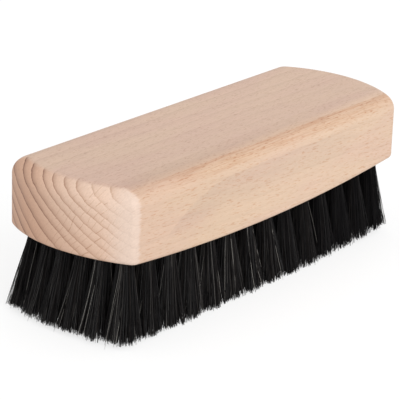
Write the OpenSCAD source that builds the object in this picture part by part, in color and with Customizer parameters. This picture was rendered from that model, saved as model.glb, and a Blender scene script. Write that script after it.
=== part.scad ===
/* [Block] */
// Length of the wooden block, end to end
block_l = 165; // [140:1:200]
// Width of the wooden block
block_w = 55.3; // [50:0.1:62]
// Height of the block's wall at its two ends
wall_h = 24.6; // [20:0.1:32]
// How far each end bows outward in plan
end_bow = 8.7; // [5:0.1:12]
// How far the underside bellies down at mid length
belly = 4.8; // [2:0.1:8]
// Radius of the rounding along the top edges
top_r = 6.6; // [3:0.1:9]
// Radius of the rounding along the lower edges
bottom_r = 1.5; // [0.6:0.1:3]
// Radius of the four upright corners
corner_r = 2.6; // [1:0.1:5]

/* [Tuft layout] */
// Lengthwise rows of tufts
rows = 6; // [5, 6, 7]
// Tufts in every second lengthwise row. The row along the -Y side and the rest hold one less.
long_row = 15; // [11:1:17]
// From the block's side to the axes of the outermost tufts
side_inset = 8.1; // [5:0.1:9]
// From the block's end to the axes of the last tufts, along the middle of the block
end_inset = 10.8; // [7:0.1:14]
// How far the last tufts of the outermost rows stand back from that line
row_bow = 2.5; // [0:0.1:6]
// How far the tufts at the ends lean out of upright, in degrees
end_lean = 12; // [4:0.5:16]
// How far the tufts along the sides lean out of upright, in degrees
side_lean = 4; // [0:0.5:6]

/* [Tufts] */
// Diameter of the blind bores
bore_d = 5.6; // [4.8:0.1:6]
// Depth of the blind bores
bore_depth = 12; // [9:0.5:16]
// Radial gap between a tuft's root and its bore
root_gap = 0.1; // [0.05:0.05:0.2]
// Width of the root's rim outside its strands
root_rim = 0.3; // [0.2:0.05:0.8]
// Free length of the hair at mid length, from the wood to the floor
hair_l = 25.6; // [20:0.1:34]
// How much shorter the trim leaves the tips at the ends than at mid length
trim_arch = 3.3; // [0:0.1:5]
// Depth of the flat that the tips stand on
tip_flat = 0.5; // [0.5:0.1:1]
// From the tuft's axis to the near side of a strand's tip
tip_spread = 1; // [0.4:0.1:1.2]
// Gap at the tips between neighbouring tufts of one lengthwise row
tip_gap_along = 0.8; // [0.4:0.1:3]
// Gap at the tips between neighbouring lengthwise rows
tip_gap_across = 0.5; // [0.3:0.1:2]

/* [Anchors] */
// How far the flat wire bites into the wood at each side of its bore
anchor_bite = 0.4; // [0.2:0.05:0.6]
// Height of the flat wire, along the bore
anchor_h = 2; // [1.2:0.1:3]
// Thickness of the flat wire
anchor_t = 0.5; // [0.3:0.05:0.8]
// Hair that is folded over the flat wire, up to the bore's bottom
fold_t = 1.6; // [1:0.1:2.5]

/* [Hidden] */
$fn = 32;
// Facets of the small edge rounding, of the wide arcs at the ends and of the very wide arc of the belly
edge_fn = 32;
wide_fn = 180;
belly_fn = 720;
// The floor is at z 0, under the flat of the tips.
under_mid = hair_l;
under_end = under_mid + belly;
top_z = under_end + wall_h;
half_l = block_l / 2;
half_w = block_w / 2;
// Circles through the bowed ends and the bellied underside
end_r = (half_w * half_w + end_bow * end_bow) / (2 * end_bow);
end_cx = half_l - end_r;
belly_r = (half_l * half_l + belly * belly) / (2 * belly);
belly_cz = under_mid + belly_r;
// Cutting shapes run this far past what they cut.
spare = 5;
// Some rounding arcs lie this far out, so that they cross the walls instead of touching them.
crossing = 0.03;
// Angles that the cutting rings sweep at the ends and under the belly
end_sweep = 2 * asin((half_w + spare) / end_r);
belly_sweep = 2 * asin((half_l + spare) / belly_r);
// Centres of the upright corner rounding
corner_y = half_w - corner_r;
corner_x = end_cx + sqrt(pow(end_r - corner_r, 2) - corner_y * corner_y);
corner_angle = atan2(corner_y, corner_x - end_cx);
short_row = long_row - 1;
side_y = half_w - side_inset;
row_pitch = 2 * side_y / (rows - 1);
// Transverse rows, counted from the -X end, take turns between the two kinds.
cross_rows = long_row + short_row;
root_r = bore_d / 2 - root_gap;
// Between a tuft's strands where they leave its root, and how deep they start inside it
strand_gap = 0.1;
root_sink = 1;
// Where a strand's middle ring lies between wood and tip, and how much of its spread it has there
strand_mid = 0.45;
mid_swell = 0.4;
// Widths of a strand where it leaves the wood, and of its tip along and across the brush
strand_root = root_r - strand_gap - root_rim;
tip_along = row_end(side_y) / short_row - tip_spread - tip_gap_along / 2;
tip_across = row_pitch / 2 - tip_spread - tip_gap_across / 2;
wood = [0.86, 0.70, 0.56];
hair = [0.09, 0.09, 0.10];
steel = [0.62, 0.63, 0.65];

function two_digits(n) = n < 10 ? str("0", n) : str(n);
function row_name(n) = str("tuft_row_", two_digits(n));

// Height of the underside, and of the trimmed tips, over a point along the brush
function under_z(x) = belly_cz - sqrt(belly_r * belly_r - x * x);
function trim_z(x) = max(0, trim_arch * pow(x / half_l, 2) - tip_flat);
// Where a lengthwise row ends, so that the last tufts stand on a bow
function row_end(y) = half_l - end_inset - row_bow * pow(y / side_y, 2);
function lean_along(x) = end_lean * x / (half_l - end_inset);
function lean_across(y) = side_lean * y / side_y;
// Lengthwise row numbers that a transverse row crosses
function crossed(n) = [for (k = [0:rows - 1]) if ((k + n) % 2 == 0) k];
// Root of the tuft where transverse row n crosses lengthwise row k
function row_y(k) = k * row_pitch - side_y;
function row_x(n, k) = row_end(row_y(k)) * along(n);
function along(n) = n % 2 == 1 ? (n - 1) / short_row - 1 : (n - 2) / (short_row - 1) - 1;

// The outside of a square corner's rounding. The corner is at the origin, with the solid at -x and -y.
module round_over(r) {
    difference() {
        translate([-r, -r]) square(r + spare);
        translate([-r, -r]) circle(r);
    }
}

// The same for the lower end edge, whose wall leans from square by the underside's slope there
module lower_round_over(r, slope) {
    back = r * (1 - sin(slope)) / cos(slope);
    difference() {
        translate([-back, -spare]) square([back + spare, spare + r]);
        translate([crossing - back, r - crossing]) circle(r);
    }
}

// The same for an upright corner, between the side and the bowed end
module corner_round_over(r) {
    reach = r + spare;
    difference() {
        polygon([[0, 0], reach * [cos(corner_angle), sin(corner_angle)], [reach, reach], [0, reach]]);
        translate([crossing, crossing]) circle(r);
    }
}

// Plan of the block, with straight sides and bowed ends
module plan() {
    intersection() {
        square([block_l + spare, block_w], center = true);
        union() {
            square([2 * end_cx, block_w + spare], center = true);
            for (end = [-1, 1]) translate([end * end_cx, 0]) circle(end_r);
        }
    }
}

// Everything that the rounded edges take off the block, at the +X and +Y edges
module side_top_edge() {
    translate([0, half_w, top_z]) rotate([90, 0, 90]) linear_extrude(block_l + spare, center = true)
        round_over(top_r);
}
module end_top_edge() {
    translate([end_cx, 0, 0]) rotate_extrude(angle = end_sweep, start = -end_sweep / 2, $fn = wide_fn)
        translate([end_r, top_z]) round_over(top_r, $fn = edge_fn);
}
module side_low_edge() {
    translate([0, 0, belly_cz]) rotate([90, 0, 0])
        rotate_extrude(angle = belly_sweep, start = -90 - belly_sweep / 2, $fn = belly_fn)
        translate([belly_r, half_w]) round_over(bottom_r, $fn = edge_fn);
}
module end_low_edge() {
    slope = atan2(under_end - under_z(half_l - end_bow), end_bow);
    translate([half_l, 0, under_end]) rotate([0, -slope, 0]) translate([-end_r, 0, 0])
        rotate_extrude(angle = end_sweep, start = -end_sweep / 2, $fn = wide_fn)
        translate([end_r, 0]) lower_round_over(bottom_r, slope, $fn = edge_fn);
}
module upright_edge() {
    translate([corner_x, corner_y, 0]) linear_extrude(top_z + spare) corner_round_over(corner_r);
}

// The block before it is bored
module blank() {
    difference() {
        difference() {
            intersection() {
                translate([0, 0, under_mid - spare]) linear_extrude(top_z - under_mid + spare)
                    plan($fn = wide_fn);
                translate([0, 0, belly_cz]) rotate([90, 0, 0])
                    cylinder(h = block_w + spare, r = belly_r, center = true, $fn = belly_fn);
            }
            for (m = [0, 1]) {
                mirror([0, m, 0]) side_low_edge();
                mirror([m, 0, 0]) end_low_edge();
                mirror([0, m, 0]) side_top_edge();
                mirror([m, 0, 0]) end_top_edge();
            }
        }
        for (mx = [0, 1], my = [0, 1]) mirror([mx, 0, 0]) mirror([0, my, 0]) upright_edge();
    }
}

// Puts its children at a tuft's root: the bore's mouth is at the origin and the bore runs along +Z.
module at_root(x, y) {
    translate([x, y, under_z(x)]) rotate([lean_across(y), -lean_along(x), 0]) children();
}

// The flat wire that holds a tuft's fold down
module anchor() {
    translate([-bore_d / 2 - anchor_bite, -anchor_t / 2, bore_depth - fold_t - anchor_h])
        cube([bore_d + 2 * anchor_bite, anchor_t, anchor_h]);
}

module block() {
    color(wood) difference() {
        blank();
        for (n = [1:cross_rows], k = crossed(n)) at_root(row_x(n, k), row_y(k)) {
            translate([0, 0, -spare]) cylinder(h = spare + bore_depth, d = bore_d);
            anchor();
        }
    }
}

// One strand of a tuft, a lock of hair on three sides, in the quarter that sx and sy point to.
// Its three rings lie in the root, at mid length and at the trimmed tip.
module strand(x, y, sx, sy) {
    root_z = under_z(x);
    tip_z = trim_z(x);
    mid_z = root_z - strand_mid * (root_z - tip_z);
    // A corner of the ring at height z: near the axis, and out along x or y
    function at(z, swell, out_x, out_y) = [
        x + (root_z - z) * tan(lean_along(x)) + sx * (mix(strand_gap, tip_spread, swell)
            + out_x * mix(strand_root, tip_along, swell)),
        y + (root_z - z) * tan(lean_across(y)) + sy * (mix(strand_gap, tip_spread, swell)
            + out_y * mix(strand_root, tip_across, swell)),
        z];
    function ring(z, swell) = sx * sy > 0
        ? [at(z, swell, 0, 0), at(z, swell, 1, 0), at(z, swell, 0, 1)]
        : [at(z, swell, 0, 0), at(z, swell, 0, 1), at(z, swell, 1, 0)];
    tip = [for (p = ring(tip_z, 1)) [p[0], p[1], trim_z(p[0])]];
    sides = [for (a = [0, 3], i = [0:2], f = [[a + i, a + (i + 1) % 3, a + 3 + (i + 1) % 3],
                                              [a + i, a + 3 + (i + 1) % 3, a + 3 + i]]) f];
    polyhedron(concat(ring(root_z + root_sink, 0), ring(mid_z, mid_swell), tip),
               concat([[0, 2, 1]], sides, [[6, 7, 8]]));
}
function mix(a, b, t) = a + (b - a) * t;

// A folded root that fills its bore, with a slot for the anchor, and the strands that grow out of it
module tuft(x, y) {
    difference() {
        at_root(x, y) cylinder(h = bore_depth, r = root_r);
        at_root(x, y) anchor();
    }
    for (sx = [-1, 1], sy = [-1, 1]) strand(x, y, sx, sy);
}

// The separate tufts of one transverse row
module tuft_row(n) {
    color(hair) for (k = crossed(n)) tuft(row_x(n, k), row_y(k));
}

// The flat wires of all the tufts, each a solid of its own
module anchors() {
    color(steel) for (n = [1:cross_rows], k = crossed(n)) at_root(row_x(n, k), row_y(k)) anchor();
}

block();
for (n = [1:cross_rows]) tuft_row(n);
anchors();
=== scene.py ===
# %% [markdown]
# A shoe shine brush: a block of pale beech, bored from below, with a tuft of black horsehair in every bore.
# The CAD model is loaded first and stays as it is. The lesson then makes the block with softly sanded edges,
# bores it, grows the hair out of the bores, gives each material its look and sets up floor, light and camera.

# %% Load the frame
import math

import bmesh
import bpy
from mathutils import Matrix, Vector


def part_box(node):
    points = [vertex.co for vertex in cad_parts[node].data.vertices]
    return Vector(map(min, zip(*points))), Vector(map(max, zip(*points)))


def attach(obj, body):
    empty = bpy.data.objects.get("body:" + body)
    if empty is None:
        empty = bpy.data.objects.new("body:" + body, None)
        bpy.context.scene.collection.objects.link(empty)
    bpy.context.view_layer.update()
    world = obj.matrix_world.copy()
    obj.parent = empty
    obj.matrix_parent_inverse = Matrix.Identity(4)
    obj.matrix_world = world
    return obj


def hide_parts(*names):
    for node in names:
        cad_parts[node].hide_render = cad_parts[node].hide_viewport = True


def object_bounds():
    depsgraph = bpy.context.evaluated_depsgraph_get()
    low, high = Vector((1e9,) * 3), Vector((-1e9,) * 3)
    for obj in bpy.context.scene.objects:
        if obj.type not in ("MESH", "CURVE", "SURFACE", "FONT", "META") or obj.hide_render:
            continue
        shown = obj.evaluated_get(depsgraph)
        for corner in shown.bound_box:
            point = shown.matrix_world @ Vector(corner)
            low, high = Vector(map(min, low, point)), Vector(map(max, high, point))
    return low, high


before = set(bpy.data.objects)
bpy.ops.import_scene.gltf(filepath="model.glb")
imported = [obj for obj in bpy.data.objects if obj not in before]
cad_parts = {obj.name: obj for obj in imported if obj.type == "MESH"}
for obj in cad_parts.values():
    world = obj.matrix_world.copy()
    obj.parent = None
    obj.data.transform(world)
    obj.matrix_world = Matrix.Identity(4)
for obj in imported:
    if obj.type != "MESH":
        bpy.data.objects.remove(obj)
cad_low, cad_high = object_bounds()
MM = 0.001
print("CAD box in mm:", [round(v / MM, 1) for v in (*cad_low, *cad_high)])

# %% [markdown]
# The block's length, width and height come from the frame. The few sizes that a box doesn't tell are named here
# as the CAD has them: the bow of the ends, the belly of the underside, the edge rounding and the tuft layout.
# Everything else on the brush is worked out from these.

# %% Driving sizes
block_low, block_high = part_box("block")
half_l = block_high.x
half_w = block_high.y
top_z = block_high.z
under_mid = block_low.z
end_bow = 8.7 * MM
belly = 4.8 * MM
top_round = 6.6 * MM
low_round = 1.5 * MM
corner_round = 2.6 * MM
side_inset = 8.1 * MM
end_inset = 10.8 * MM
row_bow = 2.5 * MM
end_lean = math.radians(12)
side_lean = math.radians(4)
bore_d = 5.6 * MM
bore_depth = 12 * MM
trim_arch = 3.3 * MM
tip_flat = 0.5 * MM
long_row = 15
rows = 6

end_r = (half_w ** 2 + end_bow ** 2) / (2 * end_bow)
end_cx = half_l - end_r
belly_r = (half_l ** 2 + belly ** 2) / (2 * belly)


def under_z(x):
    """Height of the bellied underside over a point along the brush."""
    return under_mid + belly_r - math.sqrt(belly_r ** 2 - x ** 2)


print("end radius and belly radius in mm:", round(end_r / MM, 1), round(belly_r / MM, 1))

# %% [markdown]
# Node trees get long when every node takes four lines of code, so a small helper adds a node, sets it and wires
# its inputs in one call. Geometry trees and shader trees both use it. Sums, products and smooth steps come up
# again and again, so each has a name of its own.

# %% A helper for node trees
class NumberGraph:
    """Adds nodes to one tree, wires them as it goes and reckons with numbers."""

    def __init__(self, tree):
        self.tree = tree

    def node(self, kind, inputs=None, **settings):
        made = self.tree.nodes.new(kind)
        for name, value in settings.items():
            setattr(made, name, value)
        for key, value in (inputs or {}).items():
            if isinstance(value, bpy.types.NodeSocket):
                self.tree.links.new(value, made.inputs[key])
            else:
                made.inputs[key].default_value = value
        return made

    def maths(self, operation, a, b=0.0, clamp=False):
        return self.node("ShaderNodeMath", {0: a, 1: b}, operation=operation, use_clamp=clamp).outputs[0]

    def plus(self, total, *others):
        for value in others:
            total = self.maths("ADD", total, value)
        return total

    def minus(self, a, b):
        return self.maths("SUBTRACT", a, b)

    def times(self, product, *others):
        for value in others:
            product = self.maths("MULTIPLY", product, value)
        return product

    def power(self, base, exponent):
        return self.maths("POWER", base, exponent)

    def mix(self, factor, a, b):
        return self.node("ShaderNodeMix", {0: factor, 2: a, 3: b}, data_type="FLOAT").outputs[0]

    def step(self, value, start, end):
        """Rises smoothly from 0 to 1 while the value goes from start to end. The end may be below the start."""
        return self.node("ShaderNodeMapRange", {0: value, 1: start, 2: end, 3: 0.0, 4: 1.0},
                         interpolation_type="SMOOTHSTEP").outputs[0]

    def band(self, value, rise, fall):
        """Rises over one pair of borders and falls over another."""
        return self.times(self.step(value, *rise), self.step(value, *fall))


# %% [markdown]
# Vectors, noises and colours get the same treatment. A noise is stretched by giving it other numbers along each
# axis: the larger the number, the finer the grain that way. Most layers of the wood darken what is there, and
# multiplying by a colour does that without losing the grain underneath. The last helper makes an object from a
# mesh and puts it in the scene.

# %% Vectors, noises and colours
class Graph(NumberGraph):
    """Works with vectors, noises and colours as well."""

    def vector(self, operation, a, b=(0.0, 0.0, 0.0)):
        made = self.node("ShaderNodeVectorMath", {0: a, 1: b}, operation=operation)
        return made.outputs[1 if operation in ("LENGTH", "DISTANCE") else 0]

    def added(self, total, *others):
        for value in others:
            total = self.vector("ADD", total, value)
        return total

    def scaled(self, vector, amount):
        return self.node("ShaderNodeVectorMath", {0: vector, 3: amount}, operation="SCALE").outputs[0]

    def split(self, vector):
        return self.node("ShaderNodeSeparateXYZ", {0: vector}).outputs

    def join(self, x=0.0, y=0.0, z=0.0):
        return self.node("ShaderNodeCombineXYZ", {0: x, 1: y, 2: z}).outputs[0]

    def mix_vector(self, factor, a, b):
        return self.node("ShaderNodeMix", {0: factor, 4: a, 5: b}, data_type="VECTOR").outputs[1]

    def noise(self, vector, stretch, detail=2.0, roughness=0.5):
        return self.node("ShaderNodeTexNoise", {
            "Vector": self.vector("MULTIPLY", vector, stretch), "Scale": 1.0, "Detail": detail,
            "Roughness": roughness}).outputs[0]

    def mix_color(self, factor, a, b, blend="MIX"):
        a, b = (color if isinstance(color, bpy.types.NodeSocket) else (*color, 1.0) for color in (a, b))
        made = self.node("ShaderNodeMix", {0: factor, 6: a, 7: b}, data_type="RGBA", blend_type=blend)
        return made.outputs[2]

    def darkened(self, color, amount, by):
        return self.mix_color(amount, color, by, "MULTIPLY")

    def place(self):
        """Where a point lies on the brush, in metres."""
        return self.node("ShaderNodeTexCoord").outputs["Object"]

    def surface(self, inputs):
        finish = self.node("ShaderNodeBsdfPrincipled", inputs)
        self.node("ShaderNodeOutputMaterial", {0: finish.outputs[0]})


def new_piece(name, mesh):
    made = bpy.data.objects.new(name, mesh)
    bpy.context.scene.collection.objects.link(made)
    return made


# %% [markdown]
# The block is sawn to its plan, its long edges and ends are run past a rounding cutter, and it is sanded by hand,
# which softens the corners where two roundings meet. A loft follows that: the plan's outline is drawn at every
# level of the rounding, a little smaller each time, and the levels are joined. The corner radius grows with the
# inset, so the mitres come out as soft as sandpaper leaves them.

# %% The block's outline at one level
end_steps, corner_steps, side_steps = 18, 8, 26
sanding = 0.1


def outline(inset):
    """Half the plan, from the +X end over the +Y side to the -X end, drawn smaller by the inset."""
    radius, wall = end_r - inset, half_w - inset
    corner = corner_round + sanding * inset
    centre_y = wall - corner
    centre_x = end_cx + math.sqrt((radius - corner) ** 2 - centre_y ** 2)
    turn = math.atan2(centre_y, centre_x - end_cx)
    quarter = []
    for i in range(end_steps):
        angle = turn * i / end_steps
        quarter.append((end_cx + radius * math.cos(angle), radius * math.sin(angle)))
    for i in range(corner_steps + 1):
        angle = turn + (math.pi / 2 - turn) * i / corner_steps
        quarter.append((centre_x + corner * math.cos(angle), centre_y + corner * math.sin(angle)))
    for i in range(1, side_steps + 1):
        quarter.append((centre_x * (1 - i / side_steps), wall))
    return quarter + [(-x, y) for x, y in reversed(quarter[:-1])]


# %% [markdown]
# Each level is an inset and a height. The lower levels follow the belly, so their height depends on where along
# the brush a point lies. A level just outside and one just inside each rounding keep the flats flat under
# smooth shading.

# %% Levels of the loft
top_steps, low_steps = 12, 6
shoulder = 0.5 * MM
levels = [(low_round + shoulder, 0.0, True), (low_round, 0.0, True)]
for i in range(1, low_steps + 1):
    angle = math.pi / 2 * i / low_steps
    levels.append((low_round * (1 - math.sin(angle)), low_round * (1 - math.cos(angle)), True))
levels.append((0.0, low_round + shoulder, True))
levels.append((0.0, -top_round - shoulder, False))
for i in range(top_steps + 1):
    angle = math.pi / 2 * i / top_steps
    levels.append((top_round * (1 - math.cos(angle)), top_round * (math.sin(angle) - 1), False))
levels.append((top_round + shoulder, 0.0, False))
print("levels of the loft:", len(levels))

# %% [markdown]
# The points of each level make a closed ring, and quads join it to the next one. The top and the underside are
# closed by strips that run from one side of the ring straight across to the other.

# %% Loft the block
loft = bmesh.new()
rings = []
for inset, rise, from_belly in levels:
    half = outline(inset)
    loop = half + [(x, -y) for x, y in reversed(half[1:-1])]
    rings.append([loft.verts.new((x, y, rise + (under_z(x) if from_belly else top_z))) for x, y in loop])
count = len(rings[0])
for lower, upper in zip(rings, rings[1:]):
    for i in range(count):
        j = (i + 1) % count
        loft.faces.new((lower[i], lower[j], upper[j], upper[i]))
for ring, upward in ((rings[0], False), (rings[-1], True)):
    for i in range(count // 2):
        corners = [ring[i], ring[i + 1], ring[(count - i - 1) % count], ring[(count - i) % count]]
        corners = list(dict.fromkeys(corners))
        loft.faces.new(corners if upward else corners[::-1])
loft.normal_update()
blank_mesh = bpy.data.meshes.new("block_blank")
loft.to_mesh(blank_mesh)
loft.free()
blank = new_piece("block_blank", blank_mesh)
print("blank:", len(blank_mesh.polygons), "faces")

# %% [markdown]
# The tufts stand in six lengthwise rows that take turns: fourteen tufts in one, fifteen in the next, set between
# their neighbours. The last tufts stand on a bow, a flatter one than the block's end. The tufts lean outward more
# and more towards the ends and the sides, so that the hair spreads over a wider patch than the bores.

# %% Where the tufts stand
side_y = half_w - side_inset
row_pitch = 2 * side_y / (rows - 1)


def row_end(y):
    return half_l - end_inset - row_bow * (y / side_y) ** 2


def lean_along(x):
    return end_lean * x / (half_l - end_inset)


def lean_across(y):
    return side_lean * y / side_y


tuft_rows = []
for n in range(2 * long_row - 1):
    spots = []
    for k in range(rows):
        if (k + n) % 2 == 1:
            y = k * row_pitch - side_y
            along = n / (long_row - 1) - 1 if n % 2 == 0 else (n - 1) / (long_row - 2) - 1
            x = row_end(y) * along
            spots.append(Vector((x, y, under_z(x))))
    tuft_rows.append(spots)
print("tufts:", sum(len(spots) for spots in tuft_rows), "in", len(tuft_rows), "rows across the brush")

# %% [markdown]
# The bores are drilled blind from below, each along its tuft's lean, by a drill that starts a little below the
# wood. One mesh of cylinders cuts them all at once with a Boolean modifier, and the result is kept as a plain mesh.
# Shading is smooth but for the bores' rims.

# %% Bore the block
bore_sides = 20
below = 2 * MM
rim_angle = math.radians(35)
drill = bmesh.new()
for spot in (spot for spots in tuft_rows for spot in spots):
    stand = (Matrix.Translation(spot) @ Matrix.Rotation(-lean_along(spot.x), 4, "Y")
             @ Matrix.Rotation(lean_across(spot.y), 4, "X"))
    middle = Matrix.Translation((0, 0, bore_depth / 2 - below / 2))
    bmesh.ops.create_cone(drill, cap_ends=True, segments=bore_sides, radius1=bore_d / 2, radius2=bore_d / 2,
                          depth=bore_depth + below, matrix=stand @ middle)
drill_mesh = bpy.data.meshes.new("drills")
drill.to_mesh(drill_mesh)
drill.free()
drills = new_piece("drills", drill_mesh)
cut = blank.modifiers.new("bores", "BOOLEAN")
cut.operation, cut.solver, cut.object = "DIFFERENCE", "EXACT", drills
bored = blank.evaluated_get(bpy.context.evaluated_depsgraph_get())
block_mesh = bpy.data.meshes.new_from_object(bored)
block_mesh.shade_smooth()
block_mesh.set_sharp_from_angle(angle=rim_angle)
block = new_piece("wood_block", block_mesh)
bpy.data.objects.remove(blank)
bpy.data.objects.remove(drills)
print("bored block:", len(block_mesh.polygons), "faces")

# %% [markdown]
# Horsehair is folded over a wire and pushed into the bore, so both ends of every hair stick out. The bundle fills
# the bore tightly, then fans out. It falls into locks, and the locks into fine wisps whose tips lean together.
# Drawing tens of thousands of hairs by hand is hopeless and Blender's hair system makes no mesh that can be kept,
# so a Geometry Nodes tree grows them: it copies each tuft's point many times, hangs a short curve on every copy
# and bends it by rules.

# %% Start the tuft tree
tuft_tree = bpy.data.node_groups.new("tuft", "GeometryNodeTree")
tuft_tree.interface.new_socket("Geometry", in_out="OUTPUT", socket_type="NodeSocketGeometry")
tuft_tree.interface.new_socket("Geometry", in_out="INPUT", socket_type="NodeSocketGeometry")
for name in ("Hairs", "Seed"):
    tuft_tree.interface.new_socket(name, in_out="INPUT", socket_type="NodeSocketInt")
for name in ("Bore Radius", "Root Depth", "Reach Along", "Reach Across", "Flare", "Lock Count", "Lock Pull",
             "Lock Drift", "Lock Length", "Wisp Count", "Wisp Pull", "Scatter", "Ragged", "Bow", "Hair Radius",
             "Half Length", "Trim Arch", "Trim Shift", "Tip Flat", "Stray Share", "Stray Splay"):
    tuft_tree.interface.new_socket(name, in_out="INPUT", socket_type="NodeSocketFloat")
tuft_tree.interface.new_socket("Material", in_out="INPUT", socket_type="NodeSocketMaterial")
sizes = tuft_tree.nodes.new("NodeGroupInput").outputs
g = Graph(tuft_tree)


def chance(low, high, number):
    """A random field, one value for each hair, with the tree's seed shifted by a number of its own."""
    return g.node("FunctionNodeRandomValue", {2: low, 3: high, 8: g.plus(sizes["Seed"], float(number))},
                  data_type="FLOAT").outputs[1]


def store(geometry, name, value, kind="FLOAT"):
    """Keeps a field on the hairs under a name, so that it survives until the hair is bent."""
    return g.node("GeometryNodeStoreNamedAttribute", {0: geometry, 2: name, 3: value},
                  data_type=kind, domain="POINT").outputs[0]


def kept(name, kind="FLOAT"):
    return g.node("GeometryNodeInputNamedAttribute", {0: name}, data_type=kind).outputs[0]


# %% [markdown]
# Every hair starts at a random spot of a disc, which is its place in the bundle. Where its tip goes depends on
# the same spot of a wider disc, the lock and the wisp that it belongs to, and chance. A Voronoi texture sorts the
# disc into cells, because it gives all hairs of one cell the same point and the same random colour. The texture is
# shifted by the tuft's own place, so no two tufts fall into the same locks.

# %% Roots, locks and wisps
points = g.node("GeometryNodeMeshToPoints", {0: sizes["Geometry"]}).outputs[0]
points = g.node("GeometryNodeDuplicateElements", {0: points, 2: sizes["Hairs"]}, domain="POINT").outputs[0]
turn = chance(0.0, 2 * math.pi, 1)
out = g.maths("SQRT", chance(0.0, 1.0, 2))
disc = g.join(g.times(out, g.maths("COSINE", turn)), g.times(out, g.maths("SINE", turn)))
centre = g.node("GeometryNodeInputPosition").outputs[0]
cell_shift = 7.3 / MM


def cells(count, spread):
    """For each hair the middle of its cell on the disc, and the cell's random colour."""
    own = g.vector("MULTIPLY", centre, (cell_shift * spread, cell_shift * spread, 0.0))
    made = g.node("ShaderNodeTexVoronoi", {"Vector": g.added(g.scaled(disc, count), own), "Scale": 1.0},
                  voronoi_dimensions="2D")
    home = g.vector("SUBTRACT", made.outputs["Position"], own)
    return g.scaled(home, g.maths("DIVIDE", 1.0, count)), made.outputs["Color"]


lock_spot, lock_color = cells(sizes["Lock Count"], spread=1.0)
wisp_spot, wisp_color = cells(sizes["Wisp Count"], spread=1.7)
tip_spot = g.mix_vector(sizes["Wisp Pull"], disc, wisp_spot)
tip_spot = g.mix_vector(sizes["Lock Pull"], tip_spot, lock_spot)

# %% [markdown]
# Tufts that press against their neighbours fill the corners between them, so the wider disc is made a little
# square: a spot on its diagonal moves out, by the ratio of the round distance from the axis to the square one.
# Each lock and each wisp then drifts a little way of its own.

# %% Where the tips land
squareness = 0.75
wisp_drift = 0.4
no_drift = (0.5, 0.5, 0.5)
never_zero = 0.001
sides = g.split(g.vector("ABSOLUTE", tip_spot))
farther_side = g.plus(g.maths("MAXIMUM", sides[0], sides[1]), never_zero)
outward = g.maths("DIVIDE", g.vector("LENGTH", tip_spot), farther_side)
tip_spot = g.scaled(tip_spot, g.power(outward, squareness))
tip = g.vector("MULTIPLY", tip_spot, g.join(sizes["Reach Along"], sizes["Reach Across"]))
drift = g.added(g.vector("SUBTRACT", lock_color, no_drift),
                g.scaled(g.vector("SUBTRACT", wisp_color, no_drift), wisp_drift))
tip = g.added(tip, g.scaled(drift, sizes["Lock Drift"]))

# %% [markdown]
# A few hairs in a thousand are strays: they wander further, mostly lengthwise, and at the ends they stand out from
# the bundle. The near end is the more worn one and has more of them. The chance that scatters a tip is drawn twice
# and added up, so most hairs stay near their wisp.

# %% Strays and scatter
wear_and_shade_change = 0.8
stray_wander, stray_lengthwise = 2.0, 3.4
flat = (1.0, 1.0, 0.0)
towards_far = g.maths("DIVIDE", g.split(centre)[0], sizes["Half Length"])
wear_and_shade = g.minus(1.0, g.times(towards_far, wear_and_shade_change))
stray = g.maths("LESS_THAN", chance(0.0, 1.0, 3), g.times(sizes["Stray Share"], wear_and_shade))
wander = g.times(sizes["Scatter"], g.mix(stray, 1.0, stray_wander))
scatter_x = g.times(g.plus(chance(-0.5, 0.5, 4), chance(-0.5, 0.5, 5)), g.mix(stray, 1.0, stray_lengthwise))
scatter_y = g.plus(chance(-0.5, 0.5, 6), chance(-0.5, 0.5, 7))
splay = g.times(stray, towards_far, sizes["Stray Splay"])
tip = g.added(tip, g.scaled(g.join(scatter_x, scatter_y), wander), g.join(splay))
tip = g.vector("MULTIPLY", tip, flat)

# %% [markdown]
# Each hair has its own length, tone, bow, thickness and shine. A chance raised to a power is small for most hairs
# and large for a few, which is how hair looks: mostly alike, with some that are short, brown or glossy. The hairs of
# a wisp share a part of their tone and shine, because a wisp is what the eye sees as one streak. Strays are thinner
# and grey, and the near end shines more. Towards the far end the tone is painted darker: painted shade over the far
# tufts, which catch more of the soft box there.

# %% Length, tone, bow, thickness and shine
for_a_few = 3.0
hair_tone, shared_tone, tone_lift, most_tone = 0.5, 0.08, 0.1, 1.1
hair_gloss, gloss_by_wear, shared_gloss = 0.7, 1.8, (0.4, 2.2)
thinnest, thickest = 0.75, 1.15
stray_tones, stray_thickness = (0.5, 0.95), 0.72
lock_short = g.times(g.split(lock_color)[2], sizes["Lock Length"])
short = g.plus(g.times(g.power(chance(0.0, 1.0, 8), for_a_few), sizes["Ragged"]), lock_short)
wisp_tone = g.power(g.split(wisp_color)[1], 2.0)
tone = g.plus(g.times(g.power(chance(0.0, 1.0, 9), for_a_few), hair_tone), g.times(wisp_tone, shared_tone))
# Painted shade: the hairs' tone darkens towards the far end.
tone = g.times(tone, g.maths("MINIMUM", g.plus(wear_and_shade, tone_lift), most_tone))
tone = g.mix(stray, tone, chance(*stray_tones, 10))
bow = g.scaled(g.join(chance(-1.0, 1.0, 11), chance(-1.0, 1.0, 12)), sizes["Bow"])
thick = g.times(chance(thinnest, thickest, 13), g.mix(stray, 1.0, stray_thickness))
gloss = g.times(g.power(chance(0.0, 1.0, 14), for_a_few), g.times(g.power(wear_and_shade, gloss_by_wear), hair_gloss),
                g.mix(wisp_tone, *shared_gloss))
for name, value in (("centre", centre), ("root_spot", disc), ("tip_offset", tip), ("bow", bow)):
    points = store(points, name, value, "FLOAT_VECTOR")
for name, value in (("short", short), ("tone", tone), ("thick", thick), ("gloss", gloss)):
    points = store(points, name, value)

# %% [markdown]
# The curve of one hair has five points, as straight as a line at first, and every point knows how far along it
# is. The trimmer leaves the ends of the brush a little shorter than its middle, so the height of a tip depends on
# where it lands, and the lowest tips all but touch the floor.

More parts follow.
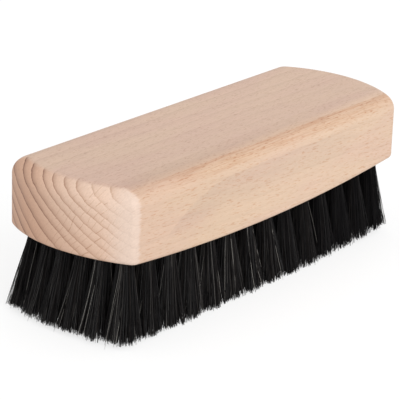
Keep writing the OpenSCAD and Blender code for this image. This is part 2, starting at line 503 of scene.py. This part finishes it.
# %% Hang a hair on every point
hair_points = 5
over_floor = 0.03 * MM
line = g.node("GeometryNodeCurvePrimitiveLine", {0: (0.0, 0.0, 0.0), 1: (0.0, 0.0, -MM)}).outputs[0]
line = g.node("GeometryNodeResampleCurve", {0: line, 2: hair_points}).outputs[0]
hairs = g.node("GeometryNodeInstanceOnPoints", {0: points, 2: line}).outputs[0]
hairs = g.node("GeometryNodeRealizeInstances", {0: hairs}).outputs[0]
along_hair = g.node("GeometryNodeSplineParameter").outputs["Factor"]
foot = kept("centre", "FLOAT_VECTOR")
slope = kept("slope", "FLOAT_VECTOR")
tip_offset = kept("tip_offset", "FLOAT_VECTOR")
foot_z = g.split(foot)[2]
tip_x = g.split(g.added(foot, g.scaled(slope, foot_z), tip_offset))[0]
share = g.maths("DIVIDE", g.plus(tip_x, sizes["Trim Shift"]), sizes["Half Length"])
trim = g.minus(g.times(share, share, sizes["Trim Arch"]), sizes["Tip Flat"])
tip_z = g.plus(g.maths("MAXIMUM", trim, over_floor), kept("short"))

# %% [markdown]
# The first point lies in the bore, and from the wood down the hair moves from its root spot to its tip, slowly at
# first and faster near the end, as a bundle does that a bore squeezes. The lean of the tuft and the hair's own bow
# are added on the way.

# %% Bend the hairs
z = g.mix(along_hair, g.plus(foot_z, sizes["Root Depth"]), tip_z)
down = g.minus(foot_z, z)
way = g.maths("DIVIDE", down, g.minus(foot_z, tip_z), clamp=True)
root = g.scaled(kept("root_spot", "FLOAT_VECTOR"), sizes["Bore Radius"])
fan = g.mix_vector(g.power(way, sizes["Flare"]), root, tip_offset)
swing = g.scaled(kept("bow", "FLOAT_VECTOR"), g.maths("SINE", g.times(way, math.pi)))
spot = g.added(foot, g.added(fan, swing, g.scaled(slope, down)))
spot = g.added(g.vector("MULTIPLY", spot, flat), g.join(z=z))
hairs = g.node("GeometryNodeSetPosition", {0: hairs, 2: spot}).outputs[0]

# %% [markdown]
# A hair is round and about two tenths of a millimetre thick. Three sides are enough for something so thin, and
# they keep the whole brush under two million triangles. It thins a little towards the tip.

# %% Thicken the hairs and end the tree
hair_sides = 3
tip_thickness = 0.85
taper = g.times(sizes["Hair Radius"], kept("thick"), g.mix(along_hair, 1.0, tip_thickness))
profile = g.node("GeometryNodeCurvePrimitiveCircle", {0: hair_sides, 4: 1.0}).outputs[0]
mesh = g.node("GeometryNodeCurveToMesh", {0: hairs, 1: profile, 2: taper, 3: True}).outputs[0]
mesh = g.node("GeometryNodeSetShadeSmooth", {0: mesh}).outputs[0]
mesh = g.node("GeometryNodeRealizeInstances", {0: mesh}).outputs[0]
mesh = g.node("GeometryNodeSetMaterial", {0: mesh, 2: sizes["Material"]}).outputs[0]
g.node("NodeGroupOutput", {0: mesh})
print("tuft tree:", len(tuft_tree.nodes), "nodes")


# %% [markdown]
# Beech is diffuse-porous: its growth rings show on the end grain as soft bands, each darkening outward to a fine
# line, with rays as thin dashes across them. On the long faces the same rings are faint, and tiny dark pores show
# along the fibre. A solid texture gives all of that at once: the rings are distances from the heart of the tree,
# far outside the block, so end, side and top agree wherever they meet. All its lengths are in millimetres.

# %% Distance from the heart
def shader(name):
    made = bpy.data.materials.new(name)
    made.use_nodes = True
    made.node_tree.nodes.clear()
    return made, Graph(made.node_tree)


beech, g = shader("beech")
place = g.scaled(g.place(), 1 / MM)
x, y, z = g.split(place)
heart_distance, heart_angle = 900.0, math.radians(36)
end_middle_z = 42.5
heart = (0.0, -heart_distance * math.sin(heart_angle), end_middle_z + heart_distance * math.cos(heart_angle))
wobble = 1.2
slow = g.minus(g.noise(place, (0.014, 0.04, 0.04), detail=1.0), 0.5)
fast = g.minus(g.noise(place, (0.03, 0.3, 0.3), detail=3.0, roughness=0.6), 0.5)
growth = g.minus(g.vector("DISTANCE", g.vector("MULTIPLY", place, (0.0, 1.0, 1.0)), heart), heart_distance)
growth = g.plus(growth, g.plus(g.times(slow, wobble), g.times(fast, wobble)))

# %% [markdown]
# No two years are alike, so the rings' outer edges are given one by one, in millimetres outward from the middle of
# the end face. A curve turns the distance into a ring number. Its fraction says how late in the year the wood grew:
# it is pale at first, darkens slowly, ends in a fine dark line and starts pale again.

# %% Growth rings
ring_edges = (-30.0, -26.6, -23.4, -19.8, -16.5, -13.0, -10.3, -6.9, -4.0, 0.1, 3.6, 9.0, 14.1, 18.3, 22.5,
              26.5, 30.5)
ring_reach = 32.0
rings_seen = len(ring_edges) + 1
darkening, dark_band, dark_line = 0.38, 0.3, 0.5
faint_year, strong_year = 0.6, 1.05
years = g.node("ShaderNodeFloatCurve", {1: g.maths("DIVIDE", g.plus(growth, ring_reach), 2 * ring_reach)})
curve = years.mapping.curves[0]
for i, edge in enumerate(ring_edges, start=1):
    curve.points.new((edge + ring_reach) / (2 * ring_reach), i / rings_seen)
for point in curve.points:
    point.handle_type = "VECTOR"
years.mapping.update()
ring = g.times(years.outputs[0], float(rings_seen))
season = g.maths("FRACT", ring)
year_tone = g.node("ShaderNodeTexWhiteNoise", {"W": g.maths("FLOOR", ring)}, noise_dimensions="1D").outputs[0]
late_wood = g.plus(g.times(season, darkening), g.times(g.step(season, 0.5, 0.93), dark_band))
late_wood = g.plus(late_wood, g.times(g.step(season, 0.84, 0.95), dark_line))
late_wood = g.times(late_wood, g.step(season, 1.0, 0.96), g.mix(year_tone, faint_year, strong_year))

# %% [markdown]
# Rays are thin sheets that run straight out from the heart. Each shows as a tick across one year's wood, and the
# next year has its ticks elsewhere, so that they look like the upright joints of brickwork. Space is turned so that
# one axis runs along the rays, and a sawtooth across them, shifted from ring to ring and broken up by a noise, gives
# the ticks.

# %% Rays
ray_pitch = 2.3
ray_unevenness = 2.0
year_shift = 7.0
turned = g.node("ShaderNodeMapping", {"Vector": place, "Rotation": (-heart_angle, 0.0, 0.0)}).outputs[0]
uneven = g.noise(turned, (0.1, 0.22, 0.08), detail=0.0)
across = g.plus(g.maths("DIVIDE", g.split(turned)[1], ray_pitch), g.times(uneven, ray_unevenness))
across = g.maths("FRACT", g.plus(across, g.times(year_tone, year_shift)))
off_tick = g.maths("ABSOLUTE", g.minus(across, 0.5))
dashes = g.noise(turned, (0.3, 0.6, 0.3), detail=1.0)
rays = g.times(g.step(off_tick, 0.05, 0.012), g.step(dashes, 0.36, 0.5))

# %% [markdown]
# Pores and fibre are noises that hardly change along the brush and change fast across it. The fibre of this block
# isn't quite level, it dips towards the far end. Other noises make the faint streaks and clouds of a board and the
# specks on it.

# %% Pores and fibre
dip = 0.09
dipped = g.added(place, g.join(z=g.times(x, dip)))
pores = g.step(g.noise(dipped, (0.4, 3.2, 3.2), detail=1.0), 0.58, 0.72)
fibre = g.noise(dipped, (0.05, 1.5, 1.5), detail=4.0, roughness=0.65)
streaks = g.step(g.noise(dipped, (0.012, 0.45, 0.45)), 0.42, 0.6)
threads = g.step(g.noise(place, (0.07, 2.6, 2.6)), 0.42, 0.62)
cloud = g.noise(place, (0.02, 0.07, 0.07))
speck = g.noise(place, (0.6, 2.4, 2.4))
end_speck = g.noise(turned, (0.5, 3.0, 1.6), detail=3.0, roughness=0.6)

# %% [markdown]
# Where a surface cuts across the fibre it is end grain. The normal tells: it points along the brush there. The
# border between the two is jagged, because fibres of different length come up beside one another. At the upright
# corner nearest to the viewer the sander left the cut fibres pale and a little furry, and that runs a few
# millimetres round onto the side.

# %% End grain or long grain
corner_x = (half_l - end_bow) / MM
wrap_jag, border_jag, corner_jag = 4.0, 0.3, 6.0
jag = g.minus(g.noise(dipped, (0.15, 2.0, 2.0), detail=3.0, roughness=0.6), 0.5)
past_corner = g.plus(g.minus(g.maths("ABSOLUTE", x), corner_x), g.times(jag, wrap_jag))
near_side = g.times(y, -1.0)
near_end = g.step(x, 20.0, -20.0)
wrap = g.times(g.step(past_corner, -3.2, -1.3), g.step(near_side, 24.0, 26.0), near_end)
normal_along = g.split(g.node("ShaderNodeNewGeometry").outputs["Normal"])[0]
cut_across = g.plus(g.maths("ABSOLUTE", normal_along), g.times(jag, border_jag))
end_grain = g.maths("MAXIMUM", g.step(cut_across, 0.16, 0.42), wrap)
long_grain = g.minus(1.0, end_grain)
pale_corner = g.times(end_grain, near_end, g.step(g.plus(near_side, g.times(jag, corner_jag)), 17.0, 26.0))

# %% [markdown]
# The colours go on in layers, as the eye sorts them. The end grain reddens outward, and it is painted darker outward
# and towards the far side: painted shade where the end faces away from the light. The long grain drifts between
# yellowish and pinkish. The side is a little yellower than the top, and both change slowly along the block.

# %% Ground colour
yellowish, pinkish = (0.555, 0.405, 0.300), (0.545, 0.385, 0.297)
side_near, side_far = (0.955, 0.947, 0.912), (0.995, 0.993, 0.973)
top_back, top_front, top_near = (0.975, 0.955, 0.965), (0.95, 0.925, 0.935), (0.965, 0.96, 0.965)
end_inner, end_outer_shaded, end_far_shade = (0.615, 0.45, 0.352), (0.50, 0.325, 0.232), (0.99, 0.905, 0.85)
far_side = g.step(y, -8.0, 16.0)
side_face = g.step(y, -21.0, -27.0)
side_color = g.mix_color(g.step(x, -45.0, 15.0), side_near, side_far)
top_color = g.mix_color(g.step(y, 6.0, -12.0), top_back, top_front)
top_color = g.darkened(top_color, g.step(x, 10.0, -70.0), top_near)
long_ground = g.mix_color(g.step(cloud, 0.35, 0.65), yellowish, pinkish)
long_ground = g.darkened(long_ground, 1.0, g.mix_color(side_face, top_color, side_color))
# Painted shade: the end grain darkens towards its lower, far corner and towards the far side, away from the light.
# It also reddens outward.
end_ground = g.mix_color(g.step(growth, -22.0, 14.0), end_inner, end_outer_shaded)
end_ground = g.darkened(end_ground, far_side, end_far_shade)
wood = g.mix_color(end_grain, long_ground, end_ground)

# %% [markdown]
# Then come the late wood, the rays and the pores, which all darken what is there. The rings are strongest at the
# far side of the end and fade towards the near corner, where the rays show best.

# %% Rings, rays and pores
ring_middle, ring_back, ring_front = (0.62, 0.52, 0.46), (0.33, 0.24, 0.20), (0.74, 0.66, 0.60)
ray_color, pore_top, pore_side = (0.74, 0.65, 0.58), (0.64, 0.54, 0.48), (0.80, 0.58, 0.43)
rings_on_long_grain = 0.16
pores_on_long_grain, pores_on_end_grain = 0.62, 0.15
slant_z, slant = 33.0, 0.8
ring_color = g.mix_color(far_side, ring_middle, ring_back)
ring_color = g.mix_color(g.step(y, -4.0, -20.0), ring_color, ring_front)
wood = g.darkened(wood, g.times(late_wood, g.mix(end_grain, rings_on_long_grain, 1.0)), ring_color)
off_near_foot = g.plus(y, g.times(g.minus(z, slant_z), slant))
rays_seen = g.times(end_grain, g.step(off_near_foot, 14.0, 1.0))
wood = g.darkened(wood, g.times(rays, rays_seen), ray_color)
pores_seen = g.times(pores, g.mix(end_grain, pores_on_long_grain, pores_on_end_grain))
wood = g.darkened(wood, pores_seen, g.mix_color(side_face, pore_top, pore_side))

# %% [markdown]
# Three marks remain. The first is an orange streak along the rounded edge towards the viewer; its broad lower part
# is also painted shade, which dims the soft box's light on the rounding. It ends sharply, in a rim, against darker
# wood above it. The second is a painted highlight: a paler band under the streak.

# %% Streak with painted shade, and painted highlight band
streak_foot, rim_foot, streak_end = (49.6, 51.8), (53.7, 54.1), (54.45, 54.25)
streak_and_shade_tint, pore_tint, rim_tint = (0.86, 0.745, 0.665), (0.86, 0.74, 0.64), (0.90, 0.82, 0.76)
above_tint, highlight_color = (0.885, 0.86, 0.845), (0.60, 0.46, 0.335)
edge_jag, between_threads, rim_strength, highlight_strength = 0.8, 0.4, 0.6, 0.12
wavy_z = g.plus(z, g.times(jag, edge_jag))
# The streak's mask is partly painted shade: its broad foot darkens the lower rounding, where the soft box lights it.
streak_and_shade = g.times(g.band(wavy_z, streak_foot, streak_end), g.step(y, -20.0, -23.0),
                 g.mix(threads, between_threads, 1.0))
streak_and_shade = g.times(streak_and_shade, g.times(long_grain, g.step(x, -100.0, -25.0)))
wood = g.darkened(wood, streak_and_shade, streak_and_shade_tint)
wood = g.darkened(wood, g.times(pores, streak_and_shade), pore_tint)
rim = g.band(wavy_z, rim_foot, streak_end)
wood = g.darkened(wood, g.times(rim, streak_and_shade, rim_strength), rim_tint)
past_streak = g.step(wavy_z, streak_end[1], streak_end[0])
above = g.times(g.step(y, -15.0, -23.5), past_streak, long_grain, g.step(x, 90.0, -30.0))
wood = g.darkened(wood, above, above_tint)
# Painted highlight: a paler band on the rounding under the streak, broken into streaks.
painted_highlight_band = g.times(g.band(z, (49.0, 50.5), (53.0, 52.0)), g.step(y, -24.0, -26.0), streaks)
wood = g.mix_color(g.times(painted_highlight_band, highlight_strength), wood, highlight_color)

# %% [markdown]
# The third is a greyish tongue on the side, where one year's wood comes to the surface at a flat angle. Its upper
# border is level over most of the side and bends down in a curve towards the near end. The pale corner goes on
# last, over everything.

# %% Tongue and pale corner
bend_x, tongue_z, bend_rate = -22.0, 48.3, 0.0105
tongue_tint, furry = (0.90, 0.905, 0.93), (0.575, 0.45, 0.375)
tongue_jag, tongue_strength, furry_strength = 2.5, 0.75, 0.8
bend = g.maths("MAXIMUM", g.minus(bend_x, x), 0.0)
tongue_top = g.minus(tongue_z, g.times(bend, bend, bend_rate))
into_tongue = g.plus(g.minus(tongue_top, z), g.times(jag, tongue_jag))
tongue = g.times(g.band(into_tongue, (-0.1, 0.3), (15.0, 4.0)), g.step(x, 58.0, 25.0), g.step(z, 33.0, 39.0),
                 g.step(y, -24.0, -27.0))
wood = g.darkened(wood, g.times(tongue, tongue_strength), tongue_tint)
wood = g.mix_color(g.times(pale_corner, furry_strength), wood, furry)

# %% [markdown]
# The surface is sanded and left raw, so it hardly shines. Fibre and specks vary the brightness a little, and pores
# stand a hair lower than the rest, which a faint bump shows.

# %% Finish the wood
dark_fibre, light_fibre = (0.87, 0.91), (1.13, 1.09)
long_speckle, end_speckle = 0.14, 0.26
pore_height, fibre_height = -0.6, 0.5
grain = g.mix(fibre, g.mix(side_face, *dark_fibre), g.mix(side_face, *light_fibre))
speckled = g.times(g.minus(g.mix(end_grain, speck, end_speck), 0.5), g.mix(end_grain, long_speckle, end_speckle))
shade = g.times(grain, g.plus(1.0, speckled))
wood = g.darkened(wood, 1.0, g.join(shade, shade, shade))
height = g.plus(g.times(pores, pore_height), g.times(fibre, fibre_height))
bump = g.node("ShaderNodeBump", {"Strength": 0.12, "Distance": 0.1 * MM, "Height": height}).outputs[0]
g.surface({"Base Color": wood, "Roughness": g.mix(fibre, 0.5, 0.66), "Specular IOR Level": 0.4, "Normal": bump})
block_mesh.materials.clear()
block_mesh.materials.append(beech)
print("beech material:", len(beech.node_tree.nodes), "nodes")

# %% [markdown]
# Horsehair is smooth and nearly black, so it is its highlights that are seen: fine grey streaks along the tufts.
# The tone that the tree kept on each hair makes some of them brown or grey, and the strays lightest. Most hairs are
# dull, and a few shine.

# %% Horsehair material
black_hair, brown_hair, grey_hair = (0.0055, 0.0052, 0.0058), (0.0185, 0.0155, 0.0145), (0.40, 0.38, 0.35)
horsehair, g = shader("horsehair")
tone = g.node("ShaderNodeAttribute", attribute_name="tone").outputs["Fac"]
gloss = g.node("ShaderNodeAttribute", attribute_name="gloss").outputs["Fac"]
ramp = g.node("ShaderNodeValToRGB", {0: tone})
stops = ramp.color_ramp.elements
stops.new(0.5)
for stop, color in zip(stops, (black_hair, brown_hair, grey_hair)):
    stop.color = (*color, 1.0)
dull_spots = g.noise(g.place(), (180.0, 180.0, 180.0))
g.surface({"Base Color": ramp.outputs[0], "Roughness": g.mix(dull_spots, 0.26, 0.46),
           "Specular IOR Level": g.mix(gloss, 0.04, 0.52)})

# %% [markdown]
# These are the sizes that the tree works with, for a tuft of this brush. The hair fills the bore but for a thin
# rim, and its tips reach a little further than halfway to the next tuft. The trim is a flatter arch than the CAD's
# and its lowest point lies towards the near end, because the stroked hair leans that way.

# %% Sizes of a tuft
half_pitch = row_end(side_y) / (long_row - 1)
tuft_sizes = {
    "Hairs": 760, "Hair Radius": 0.094 * MM, "Bore Radius": 0.47 * bore_d, "Root Depth": 2 * MM,
    "Reach Along": half_pitch * 1.14, "Reach Across": row_pitch * 0.63, "Flare": 1.15,
    "Lock Count": 2.0, "Lock Pull": 0.12, "Lock Drift": 0.55 * MM, "Lock Length": 0.4 * MM,
    "Wisp Count": 10.0, "Wisp Pull": 0.5, "Scatter": 1.0 * MM, "Ragged": 1.2 * MM, "Bow": 0.5 * MM,
    "Half Length": half_l, "Trim Arch": 0.75 * trim_arch, "Trim Shift": 10 * MM, "Tip Flat": tip_flat,
    "Stray Share": 0.0075, "Stray Splay": 2.2 * MM, "Material": horsehair}
print("hairs in all:", tuft_sizes["Hairs"] * sum(len(spots) for spots in tuft_rows))

# %% [markdown]
# The tree now grows one row of tufts at a time, which keeps each piece small. A modifier carries it, its inputs
# are set by their sockets' identifiers, and the evaluated result becomes a plain mesh. Hair is springy, so
# lengthwise it leans less than its bore. It leans more in the middle of an end or a side than at the corners, and
# the whole brush has been stroked towards the near end. Each row's seed is twenty above the last one's, because
# the tree adds numbers of up to fourteen to it.

# %% Grow the tufts
spring_back = 0.35
bulge = 0.55
stroked = math.radians(-3)
seeds_per_row = 20


def bulged(share):
    """More in the middle, where the share is 0, than at the corners, where it is 1."""
    return 1 + bulge * (1 - share ** 2)


def grow(name, spots, seed):
    seedbed = bpy.data.meshes.new(name + "_points")
    seedbed.from_pydata(spots, [], [])
    slopes = seedbed.attributes.new("slope", "FLOAT_VECTOR", "POINT")
    for i, spot in enumerate(spots):
        lengthwise = spring_back * lean_along(spot.x) * bulged(spot.y / side_y) + stroked
        sideways = lean_across(spot.y) * bulged(spot.x / half_l)
        slopes.data[i].vector = (math.tan(lengthwise), math.tan(sideways), 0.0)
    carrier = new_piece(name + "_points", seedbed)
    growing = carrier.modifiers.new("hair", "NODES")
    growing.node_group = tuft_tree
    settings = {**tuft_sizes, "Seed": seed}
    for item in tuft_tree.interface.items_tree:
        if item.in_out == "INPUT" and item.name in settings:
            growing[item.identifier] = settings[item.name]
    evaluated = carrier.evaluated_get(bpy.context.evaluated_depsgraph_get())
    grown = new_piece(name, bpy.data.meshes.new_from_object(evaluated))
    bpy.data.objects.remove(carrier)
    return grown


hair_faces = 0
for number, spots in enumerate(tuft_rows, start=1):
    grown = grow(f"hair_row_{number:02d}", spots, seeds_per_row * number)
    node = f"tuft_row_{number:02d}"
    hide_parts(node)
    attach(grown, "root")
    hair_faces += len(grown.data.polygons)
print("hair rows:", len(tuft_rows), "faces:", hair_faces)

# %% [markdown]
# The flat wires that hold the folds are hidden in the block, and the CAD has them already. They only get their
# material: drawn steel wire, with fine scratches along it. The bored block takes the place of the CAD's block.

# %% Anchor wires and block
steel, g = shader("anchor_steel")
drawn = g.noise(g.place(), (300.0, 9000.0, 9000.0))
steel_color = g.mix_color(drawn, (0.48, 0.48, 0.50), (0.60, 0.60, 0.62))
g.surface({"Base Color": steel_color, "Metallic": 1.0, "Roughness": g.mix(drawn, 0.28, 0.45)})
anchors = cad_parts["anchors"]
anchors.data.materials.clear()
anchors.data.materials.append(steel)
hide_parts("block")
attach(block, "root")

# %% [markdown]
# The floor is a plain sheet of white acrylic, large enough to fill the picture from every side. As in a studio it
# is lit from below as well, which keeps the shadow under the hair light.

# %% Floor
reach = 4.0
floor_mesh = bpy.data.meshes.new("floor")
floor_mesh.from_pydata([(-reach, -reach, 0), (reach, -reach, 0), (reach, reach, 0), (-reach, reach, 0)], [],
                       [(0, 1, 2, 3)])
floor = new_piece("floor", floor_mesh)
pale, g = shader("pale_floor")
mottle = g.noise(g.place(), (3.0, 3.0, 3.0))
g.surface({"Base Color": g.mix_color(mottle, (0.24, 0.24, 0.24), (0.26, 0.26, 0.26)), "Roughness": 0.9,
           "Specular IOR Level": 0.1, "Emission Color": (1.0, 1.0, 1.0, 1.0), "Emission Strength": 0.72})
floor_mesh.materials.append(pale)

# %% [markdown]
# The light is that of a white studio: an even white surround, and one large soft box, up and to the right of the
# camera, so that the long side is brightest and the near end falls off towards the left.

# %% Light
middle_of_brush = (cad_low + cad_high) / 2
world = bpy.data.worlds.new("studio")
bpy.context.scene.world = world
world.use_nodes = True
world.node_tree.nodes["Background"].inputs["Color"].default_value = (1.0, 1.0, 1.0, 1.0)
world.node_tree.nodes["Background"].inputs["Strength"].default_value = 1.0


def direction(azimuth, elevation):
    """Unit vector from the brush towards a light or the camera. Azimuth 0 stands in front of the -Y side."""
    a, e = math.radians(azimuth), math.radians(elevation)
    return Vector((math.sin(a) * math.cos(e), -math.cos(a) * math.cos(e), math.sin(e)))


def soft_box(name, azimuth, elevation, distance, size, power):
    lamp = bpy.data.lights.new(name, "AREA")
    lamp.shape, lamp.size, lamp.energy = "SQUARE", size, power
    stand = bpy.data.objects.new(name, lamp)
    bpy.context.scene.collection.objects.link(stand)
    towards = direction(azimuth, elevation)
    stand.location = middle_of_brush + towards * distance
    stand.rotation_euler = towards.to_track_quat("Z", "Y").to_euler()


soft_box("front_box", azimuth=-22, elevation=30, distance=2.0, size=1.4, power=24.5)

# %% [markdown]
# The camera stands where the photographer stood: far off with a long lens, low in front of the near end. Its
# aim point lies off the brush's middle, because the picture was trimmed after it was taken.

# %% Camera
view_azimuth, view_elevation, view_roll = -51.560, 20.617, math.radians(-1.920)
aim = Vector((-38.7, -26.0, 42.7)) * MM
camera_distance = 734.5 * MM
lens = bpy.data.cameras.new("camera")
lens.lens, lens.sensor_width = 197.24, 36.0
lens.clip_start, lens.clip_end = 0.01, 20.0
camera = bpy.data.objects.new("camera", lens)
bpy.context.scene.collection.objects.link(camera)
back = direction(view_azimuth, view_elevation)
right = Vector((math.cos(math.radians(view_azimuth)), math.sin(math.radians(view_azimuth)), 0.0))
up = back.cross(right)
rolled_right = math.cos(view_roll) * right - math.sin(view_roll) * up
rolled_up = math.sin(view_roll) * right + math.cos(view_roll) * up
camera.matrix_world = Matrix.Translation(aim + back * camera_distance) @ Matrix(
    (rolled_right, rolled_up, back)).transposed().to_4x4()
bpy.context.scene.camera = camera
bpy.context.scene.view_settings.view_transform = "Standard"
